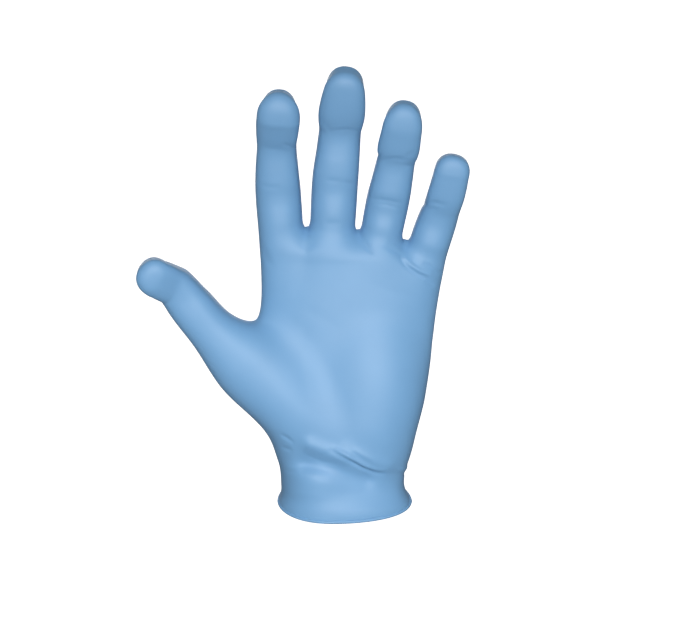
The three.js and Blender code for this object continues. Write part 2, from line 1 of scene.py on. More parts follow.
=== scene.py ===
"""A blue nitrile examination glove in the shape it has on a spread left hand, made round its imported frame.

Shapes are worked out in millimetres and placed in metres. The origin is the middle of the cuff's opening,
+Z runs up to the fingertips, -Y is the palm side and -X the thumb side.
"""

import math

import bpy
import numpy as np
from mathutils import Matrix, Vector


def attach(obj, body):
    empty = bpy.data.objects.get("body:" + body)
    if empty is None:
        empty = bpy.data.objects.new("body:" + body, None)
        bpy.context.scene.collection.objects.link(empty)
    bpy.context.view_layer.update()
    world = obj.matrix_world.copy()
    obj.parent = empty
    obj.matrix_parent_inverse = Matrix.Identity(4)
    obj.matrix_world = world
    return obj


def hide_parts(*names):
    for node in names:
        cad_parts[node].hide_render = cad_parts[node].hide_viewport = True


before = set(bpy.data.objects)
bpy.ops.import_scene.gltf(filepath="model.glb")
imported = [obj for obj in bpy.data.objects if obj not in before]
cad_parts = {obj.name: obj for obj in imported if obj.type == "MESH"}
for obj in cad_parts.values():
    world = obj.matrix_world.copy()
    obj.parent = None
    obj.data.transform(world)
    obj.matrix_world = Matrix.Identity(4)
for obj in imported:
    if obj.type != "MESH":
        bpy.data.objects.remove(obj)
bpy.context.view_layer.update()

bl_info = {
    "name": "Nitrile exam glove",
    "version": (1, 0, 0),
    "blender": (4, 5, 0),
    "location": "3D View > Sidebar > Exam Glove",
    "description": "Makes a nitrile exam glove in its worn shape, with its rolled bead and its stage",
    "category": "Object",
}

MILLIMETRE = 0.001

# Sections of the cuff, as (place along the cuff, left, right, front, back, skew, roundness). Left and right are
# shares of the wrist's width, and front, back and skew are shares of its depth.
CUFF_SECTIONS = (
    (0.0, -0.54, 0.535, -0.56, 0.5, -0.06, 2.25),
    (0.2, -0.518, 0.492, -0.53, 0.49, -0.1, 2.35),
    (0.4, -0.514, 0.475, -0.51, 0.48, -0.15, 2.45),
    (0.75, -0.506, 0.472, -0.5, 0.47, -0.15, 2.4),
)

# Sections of the palm in the same order, as shares of the palm's width and depth.
PALM_SECTIONS = (
    (0.0, -0.37, 0.35, -0.7, 0.66, -0.04, 2.3),
    (0.14, -0.366, 0.36, -0.71, 0.62, 0.0, 2.25),
    (0.3, -0.425, 0.432, -0.64, 0.58, 0.0, 2.2),
    (0.5, -0.455, 0.492, -0.58, 0.54, 0.0, 2.2),
    (0.75, -0.46, 0.515, -0.52, 0.52, 0.0, 2.2),
    (1.0, -0.43, 0.53, -0.45, 0.44, 0.0, 2.3),
)

# How far the palm is rounded off above its length, in millimetres, and how steeply that edge falls to the side.
WEB_HEIGHT = 14.0
WEB_SLOPE = 0.13

# The heel of the hand: its width, depth and length in millimetres, and its place in shares of the palm.
HEEL_SIZE = (40.0, 28.0, 68.0)
HEEL_PLACE = (0.18, -0.24, 0.28)
HEEL_ROUNDNESS = 2

# How the digits stand: root across and up the palm, lean from upright in degrees, curl and rounded end as
# shares of the length and the width, and where along the length the digit comes clear of the hand.
DIGIT_STANDS = {
    "thumb": (-0.19, 0.03, -45.0, 0.1, 0.41, 0.6),
    "index": (-0.345, 0.75, -1.5, 0.14, 0.55, 0.41),
    "middle": (-0.103, 0.775, 4.0, 0.135, 0.49, 0.36),
    "ring": (0.136, 0.75, 9.2, 0.15, 0.57, 0.41),
    "little": (0.37, 0.68, 13.5, 0.15, 0.44, 0.53),
}

# Sections of the digits: place along, shift to the side and forward, width and depth, all as shares.
DIGIT_SECTIONS = {
    "thumb": (
        (0.0, 0.18, 0.0, 1.22, 1.4),
        (0.18, 0.34, 0.4, 1.44, 1.75),
        (0.42, 0.395, 0.66, 1.61, 1.5),
        (0.63, 0.44, 0.8, 1.13, 1.15),
        (0.76, 0.52, 0.95, 1.02, 1.0),
        (0.84, 0.59, 1.1, 0.93, 0.92),
        (0.885, 0.55, 1.27, 0.87, 0.85),
        (0.93, 0.49, 1.46, 0.79, 0.78),
    ),
    "index": (
        (0.0, 0.0, 0.0, 0.9, 0.7),
        (0.4, -0.04, 0.09, 1.02, 1.08),
        (0.54, -0.065, 0.16, 1.02, 0.97),
        (0.66, -0.065, 0.3, 0.95, 0.93),
        (0.76, -0.045, 0.47, 0.86, 0.85),
        (0.83, -0.005, 0.7, 0.83, 0.82),
        (0.89, 0.03, 0.93, 0.8, 0.8),
    ),
    "middle": (
        (0.0, 0.0, 0.0, 0.9, 0.7),
        (0.36, 0.0, 0.09, 1.0, 1.08),
        (0.53, -0.01, 0.16, 1.01, 0.97),
        (0.66, 0.012, 0.3, 0.95, 0.93),
        (0.78, 0.027, 0.47, 0.89, 0.84),
        (0.92, 0.06, 0.93, 0.81, 0.8),
    ),
    "ring": (
        (0.0, 0.0, 0.0, 0.9, 0.7),
        (0.38, 0.0, 0.09, 0.99, 1.08),
        (0.52, 0.02, 0.16, 1.01, 0.97),
        (0.65, 0.04, 0.3, 0.94, 0.93),
        (0.76, 0.044, 0.48, 0.86, 0.84),
        (0.89, 0.045, 0.88, 0.85, 0.8),
    ),
    "little": (
        (0.0, 0.0, 0.0, 0.9, 0.7),
        (0.45, 0.0, 0.12, 1.03, 1.06),
        (0.6, 0.045, 0.2, 1.01, 0.95),
        (0.71, 0.075, 0.4, 0.93, 0.87),
        (0.82, 0.08, 0.66, 0.91, 0.83),
        (0.9, 0.07, 0.84, 0.88, 0.8),
    ),
}

# How far the palm side of a digit stands out of its smooth shape: place along the digit, then height as a share of
# the digit's depth.
DIGIT_PADS = {
    "thumb": (
        (0.5, 0.0), (0.62, 0.02), (0.72, 0.03), (0.8, 0.0), (0.86, 0.02), (0.92, 0.1), (1.0, 0.08),
    ),
    "index": (
        (0.36, 0.0), (0.48, 0.0), (0.54, 0.025), (0.59, 0.055), (0.64, 0.053), (0.7, 0.045), (0.75, 0.06),
        (0.79, 0.095), (0.83, 0.13), (0.88, 0.155), (0.94, 0.14), (1.0, 0.07),
    ),
    "middle": (
        (0.36, 0.0), (0.41, 0.006), (0.48, -0.002), (0.53, 0.035), (0.57, 0.06), (0.62, 0.05), (0.66, 0.018),
        (0.7, 0.01), (0.74, 0.045), (0.78, 0.117), (0.83, 0.16), (0.88, 0.145), (0.93, 0.1), (1.0, 0.05),
    ),
    "ring": (
        (0.36, 0.0), (0.41, 0.007), (0.47, -0.005), (0.53, 0.035), (0.58, 0.065), (0.63, 0.05), (0.68, 0.04),
        (0.73, 0.07), (0.77, 0.133), (0.81, 0.15), (0.86, 0.12), (0.93, 0.075), (1.0, 0.04),
    ),
    "little": (
        (0.4, -0.08), (0.44, -0.035), (0.48, 0.0), (0.57, 0.006), (0.63, 0.018), (0.68, 0.03), (0.72, 0.065),
        (0.77, 0.085), (0.83, 0.065), (0.89, 0.04), (0.94, 0.03), (1.0, 0.03),
    ),
}

# The same for the back of a digit, over its knuckles.
DIGIT_KNUCKLES = {
    "thumb": ((0.6, 0.0), (0.64, 0.005), (0.72, 0.055), (0.8, 0.005), (0.84, 0.0)),
    "index": (
        (0.4, 0.0), (0.45, 0.01), (0.54, 0.075), (0.64, 0.01),
        (0.7, 0.005), (0.755, 0.035), (0.82, 0.0), (0.86, 0.0),
    ),
    "middle": (
        (0.4, 0.0), (0.45, 0.01), (0.53, 0.075), (0.63, 0.01),
        (0.69, 0.005), (0.745, 0.035), (0.81, 0.0), (0.85, 0.0),
    ),
    "ring": (
        (0.4, 0.0), (0.44, 0.01), (0.53, 0.075), (0.63, 0.01),
        (0.7, 0.005), (0.755, 0.035), (0.82, 0.0), (0.86, 0.0),
    ),
    "little": (
        (0.4, 0.0), (0.46, 0.01), (0.56, 0.065), (0.64, 0.01),
        (0.68, 0.005), (0.73, 0.035), (0.8, 0.0), (0.84, 0.0),
    ),
}

# Broad folds and hollows of the palm side: from and to, in shares of the palm, then height as a share of its depth
# and reach as a share of its width.
PALM_FOLDS = (
    (-0.2, 0.1, 0.0, 0.03, 0.045, 0.04),
    (0.0, 0.07, 0.24, -0.02, 0.03, 0.05),
    (-0.22, 0.0, 0.12, -0.09, -0.042, 0.05),
    (0.03, 0.3, -0.02, 0.74, -0.012, 0.21),
)

# How far in front of the middle the folds begin and have their full height, as shares of the palm's depth.
FOLDS_BEGIN = 0.065
FOLDS_FULL = 0.32

# Fine wrinkles of the film, as (side, height and width in millimetres, furrow, line). The side is -1 for the palm
# side, 1 for the back and 0 for both. A furrow of 1 adds a groove beside the ridge, below a line that runs to the
# right. The line runs through places given as shares of the palm's width and length.
WRINKLES = (
    # The fold across the wrist, and the smaller ones round it.
    (-1, 1.1, 1.05, 1, (
        (-0.088, 0.097), (0.003, 0.054), (0.054, 0.026), (0.111, -0.006), (0.174, -0.032), (0.248, -0.044),
    )),
    (-1, 0.45, 1, 0, ((0.031, 0.089), (0.1, 0.053), (0.174, 0.015))),
    (-1, -0.5, 1, 0, ((-0.372, 0.151), (-0.332, 0.132), (-0.287, 0.106))),
    (-1, -0.4, 1, 0, ((-0.369, 0.076), (-0.299, 0.064))),
    (-1, -0.3, 1, 0, ((-0.361, -0.059), (-0.267, -0.044))),
    (-1, -0.35, 1.1, 0, ((-0.253, 0.056), (-0.128, 0.008), (-0.037, 0.002))),
    # The edge of the wrist.
    (0, 0.5, 1.3, 0, ((0.365, -0.067), (0.295, -0.032))),
    (0, -0.4, 1.1, 0, ((0.354, -0.099), (0.272, -0.051))),
    # The joints of the index finger.
    (-1, -0.45, 0.9, 0, ((-0.27, 1.57), (-0.307, 1.589), (-0.345, 1.605))),
    (-1, -0.22, 1.3, 0, ((-0.468, 1.598), (-0.412, 1.579), (-0.335, 1.569))),
    (-1, -0.25, 1.1, 0, ((-0.485, 1.4), (-0.428, 1.383), (-0.36, 1.383))),
    (-1, -0.4, 1.5, 0, ((-0.468, 1.091), (-0.445, 1.023), (-0.404, 0.975))),
    # The joints of the middle finger.
    (-1, -0.4, 0.9, 0, ((-0.08, 1.666), (0.009, 1.671), (0.093, 1.657))),
    (-1, -0.3, 0.9, 0, ((-0.124, 1.715), (-0.074, 1.651))),
    (-1, -0.25, 0.9, 0, ((-0.141, 1.678), (-0.102, 1.63))),
    (-1, -0.25, 1.1, 0, ((-0.114, 1.422), (-0.019, 1.412))),
    (-1, -0.38, 0.9, 0, ((-0.014, 1.412), (0.065, 1.392))),
    (-1, -0.25, 1.5, 0, ((-0.126, 1.205), (-0.014, 1.2))),
    # The joints of the ring finger.
    (-1, -0.42, 0.9, 0, ((0.198, 1.522), (0.286, 1.53), (0.376, 1.514))),
    (-1, -0.3, 0.9, 0, ((0.386, 1.565), (0.331, 1.535))),
    (-1, -0.28, 0.9, 0, ((0.383, 1.481), (0.326, 1.499))),
    (-1, -0.42, 0.9, 0, ((0.133, 1.327), (0.233, 1.318), (0.341, 1.3))),
    (-1, -0.32, 0.9, 0, ((0.15, 1.305), (0.233, 1.298), (0.324, 1.275))),
    # The joints of the little finger.
    (-1, -0.42, 0.9, 0, ((0.441, 1.289), (0.501, 1.31), (0.568, 1.296))),
    (-1, -0.25, 0.9, 0, ((0.454, 1.275), (0.524, 1.279))),
    # The notches in the edges of the digits.
    (0, -0.45, 1, 0, ((0.167, 1.545), (0.203, 1.544))),
    (0, -0.5, 1, 0, ((0.43, 1.289), (0.464, 1.301))),
    (0, -0.5, 1.1, 0, ((0.544, 0.948), (0.496, 0.958))),
    (0, -0.4, 1.3, 0, ((-1.065, 0.86), (-1.026, 0.89))),
    # The creases at the roots of the fingers.
    (-1, -0.85, 1, 0, ((0.077, 1.144), (0.099, 1.11), (0.127, 1.083), (0.166, 1.045))),
    (-1, -0.8, 0.9, 0, ((0.235, 1.111), (0.292, 1.094), (0.355, 1.066))),
    (-1, -0.65, 0.9, 0, ((0.206, 1.102), (0.286, 1.066), (0.331, 1.036))),
    (-1, 0.75, 1, 1, (
        (0.36, 1.067), (0.336, 1.031), (0.365, 0.997), (0.416, 0.966), (0.479, 0.939), (0.521, 0.904),
    )),
    (-1, -0.6, 0.9, 0, ((0.439, 1.005), (0.485, 0.984), (0.532, 0.949))),
    (-1, -0.45, 0.9, 0, ((0.451, 0.91), (0.515, 0.879))),
    (-1, -0.35, 1.6, 0, ((-0.262, 1.116), (-0.217, 1.083), (-0.166, 1.112))),
    # The soft lines of the palm.
    (-1, -0.12, 3.2, 0, ((-0.127, 0.841), (-0.206, 0.73), (-0.252, 0.593), (-0.229, 0.4), (-0.15, 0.227))),
    (-1, -0.1, 2.8, 0, ((-0.388, 0.815), (-0.251, 0.789), (-0.082, 0.711), (0.043, 0.621))),
    (-1, -0.12, 2.4, 0, ((0.428, 0.835), (0.268, 0.86), (0.11, 0.922))),
    # The knuckles and the tendons on the back of the hand.
    (1, 1.5, 6.5, 0, ((-0.34, 0.78), (-0.345, 0.93), (-0.35, 1.07))),
    (1, 1.7, 6.5, 0, ((-0.105, 0.82), (-0.1, 0.96), (-0.09, 1.1))),
    (1, 1.5, 6.0, 0, ((0.13, 0.8), (0.14, 0.93), (0.155, 1.07))),
    (1, 1.3, 5.5, 0, ((0.36, 0.74), (0.375, 0.86), (0.4, 0.99))),
    (1, 0.55, 2.6, 0, ((-0.34, 0.86), (-0.2, 0.5), (-0.1, 0.15))),
    (1, 0.55, 2.6, 0, ((-0.1, 0.88), (-0.05, 0.5), (-0.02, 0.12))),
    (1, 0.5, 2.4, 0, ((0.14, 0.86), (0.09, 0.5), (0.04, 0.15))),
    (1, 0.45, 2.2, 0, ((0.37, 0.8), (0.25, 0.48), (0.12, 0.18))),
    # The slack of the film over the back of the wrist.
    (1, 0.5, 2.6, 0, ((-0.2, -0.2), (-0.17, -0.05), (-0.1, 0.1))),
    (1, 0.45, 2.2, 0, ((0.12, -0.2), (0.16, -0.03), (0.2, 0.12))),
    (1, 0.5, 1.5, 1, ((-0.3, 0.02), (-0.1, -0.03), (0.15, -0.01), (0.3, 0.04))),
)

# Wrinkles over the joints on the back of the digits: place along the digit, reach as a share of its width, and
# height and width in millimetres.
JOINT_WRINKLES = {
    "thumb": ((0.7, 0.6, -0.3, 1.1), (0.72, 0.75, -0.4, 1.1), (0.74, 0.6, -0.3, 1.1)),
    "index": (
        (0.52, 0.6, -0.35, 1.1), (0.54, 0.8, -0.45, 1.1),
        (0.565, 0.65, -0.35, 1.1), (0.755, 0.7, -0.35, 1.0),
    ),
    "middle": (
        (0.51, 0.6, -0.35, 1.1), (0.53, 0.8, -0.45, 1.1),
        (0.555, 0.65, -0.35, 1.1), (0.745, 0.7, -0.35, 1.0),
    ),
    "ring": (
        (0.51, 0.6, -0.35, 1.1), (0.53, 0.8, -0.45, 1.1),
        (0.555, 0.65, -0.35, 1.1), (0.755, 0.7, -0.35, 1.0),
    ),
    "little": ((0.54, 0.65, -0.35, 1.1), (0.565, 0.75, -0.4, 1.1), (0.73, 0.7, -0.3, 1.0)),
}

# How a wrinkle over a joint is bowed: its points as shares of its reach, and its rise as a share of the width.
JOINT_POINTS = (-1, -0.4, 0.4, 1)
JOINT_BOW = 0.06

# How far a wrinkle is worked out, in its own widths. How squarely the film has to face the wrinkle's side, and how
# fast the wrinkle then grows. The furrow's depth as a share of the height, and its distance in widths.
WRINKLE_REACH = 4
WRINKLE_EDGE = 0.02
WRINKLE_FACING = 3
FURROW_DEPTH = 0.9
FURROW_PLACE = 1.7

# How softly the pieces of the hand run into each other, in millimetres.
FINGER_SOFTNESS = 2.0
PALM_SOFTNESS = 7.0
THUMB_SOFTNESS = 19.0
HEEL_SOFTNESS = 17.0

# How round a digit is, and how blunt its tip is from the side: 2 is an ellipse, and more is squarer.
DIGIT_ROUNDNESS = 2.25
TIP_BLUNTNESS = 3.4

# Where the rows of faces run: gap between the digits, then across and up the palm. The rim's row is level, and how
# far down it lies is a share of the cuff's length.
SEAM_LINES = {
    "rim": ((0, -0.364), (1, -0.273), (2, -0.101), (3, 0.101), (4, 0.273), (5, 0.366)),
    "wrist": (
        (0, -0.36, 0.07), (1, -0.27, 0.07), (2, -0.105, 0.07), (3, 0.095, 0.07), (4, 0.265, 0.07), (5, 0.36, 0.07),
    ),
    "thumb": (
        (0, -0.77, 0.475), (1, -0.555, 0.625), (2, -0.25, 0.665), (3, 0.05, 0.685), (4, 0.32, 0.68), (5, 0.5, 0.66),
    ),
    "fingers": ((1, -0.465, 1.1), (2, -0.211, 1.105), (3, 0.086, 1.085), (4, 0.343, 1.035), (5, 0.575, 1.05)),
}
RIM_SEAM = -0.9

# The crests of the webs between the digits, across and up the palm.
WEB_CRESTS = ((-0.575, 0.7), (-0.211, 1.19), (0.086, 1.17), (0.343, 1.12))

# How many rough faces there are across a digit, through it and along the hand, how long they are on a digit in
# millimetres, and at which angles they run round its tip.
COLUMNS = 6
SIDES = 4
CUFF_ROWS = 8
PALM_ROWS = 15
KNUCKLE_ROWS = 12
ROW_HEIGHT = 3.5
TIP_ANGLES = (27.0, 52.0)

# How often the rough faces are divided on the outer and the inner side, and how they are evened out before that.
OUTER_LEVELS = 2
INNER_LEVELS = 1
EVENING_ROUNDS = 12
EVENING_SHARE = 0.55

# How finely a digit's middle line is kept, over which share of it its direction is taken, and how often the
# nearest place on it is followed.
MIDDLE_STEPS = 96
MIDDLE_REACH = 0.01
FOLLOWING_ROUNDS = 4

# How points are moved onto the film: step for its slope and longest move in millimetres, least slope, and rounds.
SLOPE_STEP = 0.02
LONGEST_MOVE = 4.0
LEAST_SLOPE = 0.2
SETTLING_ROUNDS = 3
DEPTH_HALVINGS = 14
LEAST_DEPTH = 1.0
SMALL_SIZE = 1e-6
SMALL_SLOPE = 1e-9

# How many points there are round the bead's line and round its section, and how often the line is moved.
BEAD_STEPS = 360
BEAD_FACETS = 16
BEAD_ROUNDS = 6

# Columns of a digit's frame, and the two directions of the front view.
MIDDLE, ALONG, ACROSS, THROUGH = slice(0, 3), slice(3, 6), slice(6, 9), slice(9, 12)
HALF_WIDTH, HALF_DEPTH = 12, 13
FRONT_VIEW = [0, 2]

# The unevenness of the nitrile, as (what it is, scale, detail), the bumps as (strength, depth in metres), and how
# far the colour and the roughness follow the thickness of the dip.
DIP_NOISE = ("Thickness of the dip", 28.0, 3.0)
GRAIN_NOISE = ("Grain of the former", 1400.0, 2.0)
RIPPLE_NOISE = ("Unevenness of the stretched film", 90.0, 2.0)
GRAIN_BUMP = (0.12, 0.0001)
RIPPLE_BUMP = (0.2, 0.0004)
DIP_RANGE = (0.35, 0.65)
ROUGHNESS_SWAY = 0.03

# The floor is a wide round bowl: distance from the middle and rise, in metres.
FLOOR_PROFILE = ((1.0, 0.0), (2.0, 0.0), (2.6, 0.08), (3.0, 0.35), (3.2, 0.9), (3.2, 5.0))
FLOOR_SIDES = 48
FLOOR_ROUGHNESS = 0.9

# The lights: name, place, width and height in metres, the setting with the power, and the spread in degrees.
LIGHTS = (
    ("main_light", (0.02, -1.05, 0.31), 1.5, 0.6, "key_power", 50),
    ("back_light", (-0.15, 1.25, 0.3), 1.3, 0.8, "fill_power", 180),
)
LIGHT_TARGET = (0.0, 0.0, 0.03)

# The camera: what it looks at, how far off it stands in metres, how high in degrees, and its lens in millimetres.
CAMERA_TARGET = (0.0013, 0.0, 0.098)
CAMERA_DISTANCE = 0.9
CAMERA_LIFT = 10
CAMERA_LENS = 90.0
SENSOR_WIDTH = 36.0


def digit_size(name, *size):
    """A setting for the length, width and depth of one digit."""
    return bpy.props.FloatVectorProperty(
        name=name, description="Length, width and depth of the " + name.lower(), default=size, unit="LENGTH")


class GloveSizes(bpy.types.PropertyGroup):
    """The sizes of the worn glove."""

    cuff_length: bpy.props.FloatProperty(
        name="Cuff length", description="From the rim to the crease of the wrist",
        default=0.025, min=0.01, unit="LENGTH")
    cuff_dip: bpy.props.FloatProperty(
        name="Cuff dip", description="How much lower the rim hangs at the palm side than at the middle",
        default=0.0055, min=0.0, unit="LENGTH")
    wrist_width: bpy.props.FloatProperty(
        name="Wrist width", description="Across the cuff", default=0.065, min=0.03, unit="LENGTH")
    wrist_depth: bpy.props.FloatProperty(
        name="Wrist depth", description="From the palm side of the cuff to its back",
        default=0.045, min=0.02, unit="LENGTH")
    palm_length: bpy.props.FloatProperty(
        name="Palm length", description="From the crease of the wrist to the webs between the fingers",
        default=0.102, min=0.05, unit="LENGTH")
    palm_width: bpy.props.FloatProperty(
        name="Palm width", description="Across the palm, without the thumb",
        default=0.09, min=0.05, unit="LENGTH")
    palm_depth: bpy.props.FloatProperty(
        name="Palm depth", description="From the palm to the back of the hand",
        default=0.031, min=0.01, unit="LENGTH")
    thumb: digit_size("Thumb", 0.131, 0.022, 0.019)
    index: digit_size("Index finger", 0.1136, 0.0226, 0.0195)
    middle: digit_size("Middle finger", 0.1226, 0.0232, 0.02)
    ring: digit_size("Ring finger", 0.1096, 0.0216, 0.019)
    little: digit_size("Little finger", 0.091, 0.02, 0.0175)
    film_wall: bpy.props.FloatProperty(
        name="Film wall", description="Thickness of the nitrile film",
        default=0.0007, min=0.0002, unit="LENGTH")
    bead_diameter: bpy.props.FloatProperty(
        name="Bead diameter", description="Thickness of the roll at the rim",
        default=0.0019, min=0.0008, unit="LENGTH")


class NitrileLook(bpy.types.PropertyGroup):
    """The colour and the surface of the nitrile."""

    blue: bpy.props.FloatVectorProperty(
        name="Blue", description="Colour of the film", subtype="COLOR", size=4,
        default=(0.157, 0.337, 0.567, 1.0), min=0.0, max=1.0)
    deep_blue: bpy.props.FloatVectorProperty(
        name="Deep blue", description="Colour of the film where the dip left it thicker", subtype="COLOR", size=4,
        default=(0.147, 0.322, 0.547, 1.0), min=0.0, max=1.0)
    roughness: bpy.props.FloatProperty(
        name="Roughness", description="How dull the film is", default=0.52, min=0.0, max=1.0, subtype="FACTOR")


class StageLook(bpy.types.PropertyGroup):
    """The floor and the light round the glove."""

    floor_colour: bpy.props.FloatVectorProperty(
        name="Floor", description="Colour of the floor", subtype="COLOR", size=4,
        default=(1.0, 1.0, 1.0, 1.0), min=0.0, max=1.0)
    floor_drop: bpy.props.FloatProperty(
        name="Floor drop", description="How far the floor lies below the rim", default=0.6, min=0.02, unit="LENGTH")
    key_power: bpy.props.FloatProperty(
        name="Main light", description="Power of the wide soft light in front", default=3.5, min=0.0, unit="POWER")
    fill_power: bpy.props.FloatProperty(
        name="Back light", description="Power of the soft light behind", default=8.0, min=0.0, unit="POWER")
    ambience: bpy.props.FloatProperty(
        name="Ambience", description="Light from all round", default=0.18, min=0.0)


def smooth_rows(rows, at):
    """Values of a table at places along its first column, on smooth curves through its rows."""
    table = np.array(rows, float)
    places, values = table[:, 0], table[:, 1:]
    last = len(places) - 1
    before = np.maximum(np.arange(last + 1) - 1, 0)
    after = np.minimum(np.arange(last + 1) + 1, last)
    slopes = (values[after] - values[before]) / (places[after] - places[before])[:, None]
    place = np.clip(at, places[0], places[-1])
    row = np.clip(np.searchsorted(places, place) - 1, 0, last - 1)
    span = places[row + 1] - places[row]
    share = ((place - places[row]) / span)[..., None]
    rise = values[row + 1] - values[row]
    leave, arrive = slopes[row] * span[..., None], slopes[row + 1] * span[..., None]
    bend = leave + arrive - 2 * rise
    return values[row] + share * (leave + share * (3 * rise - 2 * leave - arrive + share * bend))


def rounded_distance(offsets, halves, roundness):
    """About how far places lie outside a rounded form, given their offsets from its middle."""
    shares = [np.abs(offset) / half for offset, half in zip(offsets, halves)]
    total = sum(share ** roundness for share in shares)
    steep = sum((share ** (roundness - 1) / half) ** 2 for share, half in zip(shares, halves))
    size = np.maximum(total ** (1 / roundness), SMALL_SIZE)
    return (size - 1) * size ** (roundness - 1) / np.maximum(np.sqrt(steep), SMALL_SLOPE)


def blunt_distance(across, over, through, half_width, half_round, half_depth, bluntness):
    """Like rounded_distance for a digit: round as seen from the front, and blunter as seen from the side."""
    outline = (np.abs(across) ** DIGIT_ROUNDNESS + over ** DIGIT_ROUNDNESS) ** (1 / DIGIT_ROUNDNESS)
    outline = np.maximum(outline, SMALL_SIZE)
    size = np.maximum((outline ** bluntness + np.abs(through) ** bluntness) ** (1 / bluntness), SMALL_SIZE)
    front = (outline / size) ** (bluntness - 1)
    steep = np.stack([
        front * (np.abs(across) / outline) ** (DIGIT_ROUNDNESS - 1) / half_width,
        front * (over / outline) ** (DIGIT_ROUNDNESS - 1) / half_round,
        (np.abs(through) / size) ** (bluntness - 1) / half_depth,
    ])
    return (size - 1) / np.maximum(np.sqrt((steep ** 2).sum(axis=0)), SMALL_SLOPE)


def soft_union(first, second, softness):
    """Joins two distances so that the forms run into each other softly."""
    near = np.maximum(softness - np.abs(first - second), 0) / softness
    return np.minimum(first, second) - near * near * softness / 4


def away_from_line(x, z, line):
    """The distance of places from a straight line between two points, and how far along it they are."""
    from_x, from_z, to_x, to_z = line
    run_x, run_z = to_x - from_x, to_z - from_z
    along = np.clip(((x - from_x) * run_x + (z - from_z) * run_z) / (run_x ** 2 + run_z ** 2), 0, 1)
    return np.hypot(x - from_x - along * run_x, z - from_z - along * run_z), along


class Digit:
    """One digit: its middle line with the directions along, across and through it, in millimetres."""

    def __init__(self, name, size, palm):
        root_across, root_up, lean, curl, tip, self.free = DIGIT_STANDS[name]
        self.name = name
        self.length, self.width, self.depth = (value / MILLIMETRE for value in size)
        self.root = np.array((root_across * palm.palm_width, 0.0, palm.up(root_up)))
        self.lean = math.radians(lean)
        self.curl = curl * self.length
        self.round = tip * self.width
        self.cap = 1 - self.round / self.length
        at = np.linspace(0, self.cap, MIDDLE_STEPS + 1)
        along = self.middle(at + MIDDLE_REACH) - self.middle(at - MIDDLE_REACH)
        along /= np.linalg.norm(along, axis=1)[:, None]
        across = np.cross((0.0, 1.0, 0.0), along)
        across /= np.linalg.norm(across, axis=1)[:, None]
        widths = smooth_rows(DIGIT_SECTIONS[name], at)[:, 2:] * (self.width / 2, self.depth / 2)
        self.steps = np.hstack([self.middle(at), along, across, np.cross(along, across), widths])

    def middle(self, at):
        """Points of the middle line."""
        rows = smooth_rows(DIGIT_SECTIONS[self.name], at)
        along = np.array((math.sin(self.lean), 0.0, math.cos(self.lean)))
        across = np.array((math.cos(self.lean), 0.0, -math.sin(self.lean)))
        forward = np.array((0.0, -1.0, 0.0))
        return (self.root + np.multiply.outer(at * self.length, along)
                + np.multiply.outer(rows[:, 0] * self.width, across)
                + np.multiply.outer(rows[:, 1] * self.curl, forward))

    def frame_at(self, at):
        """Middle, along, across, through, half width and half depth at places along the digit."""
        place = np.clip(at / self.cap, 0, 1) * MIDDLE_STEPS
        step = np.minimum(place.astype(int), MIDDLE_STEPS - 1)
        return self.steps[step] + (place - step)[:, None] * (self.steps[step + 1] - self.steps[step])

    def distance(self, places):
        """How far places lie outside the digit."""
        at = np.full(len(places), self.cap / 2)
        here = self.frame_at(at)
        for _ in range(FOLLOWING_ROUNDS):
            ahead = np.einsum("ij,ij->i", places - here[:, MIDDLE], here[:, ALONG])
            following = np.clip(at + ahead / self.length, 0, self.cap)
            over = ahead - (following - at) * self.length
            at = following
            here = self.frame_at(at)
        offset = places - here[:, MIDDLE]
        across = np.einsum("ij,ij->i", offset, here[:, ACROSS])
        through = np.einsum("ij,ij->i", offset, here[:, THROUGH])
        half_width, half_depth = here[:, HALF_WIDTH], here[:, HALF_DEPTH]
        beyond = np.where(over > 0, over / self.round, -over / half_width)
        reach = at + np.maximum(over, 0) / self.length
        blunt = np.clip((reach - self.free) / (self.cap - self.free), 0, 1)
        bluntness = DIGIT_ROUNDNESS + (TIP_BLUNTNESS - DIGIT_ROUNDNESS) * blunt ** 2
        outside = blunt_distance(across / half_width, beyond, through / half_depth,
                                 half_width, self.round, half_depth, bluntness)
        for table, side in ((DIGIT_PADS, -1), (DIGIT_KNUCKLES, 1)):
            height = smooth_rows(table[self.name], reach)[:, 0] * self.depth
            share = np.clip(side * through / half_depth, 0, 1)
            outside = outside - height * share * share * (3 - 2 * share)
        return outside


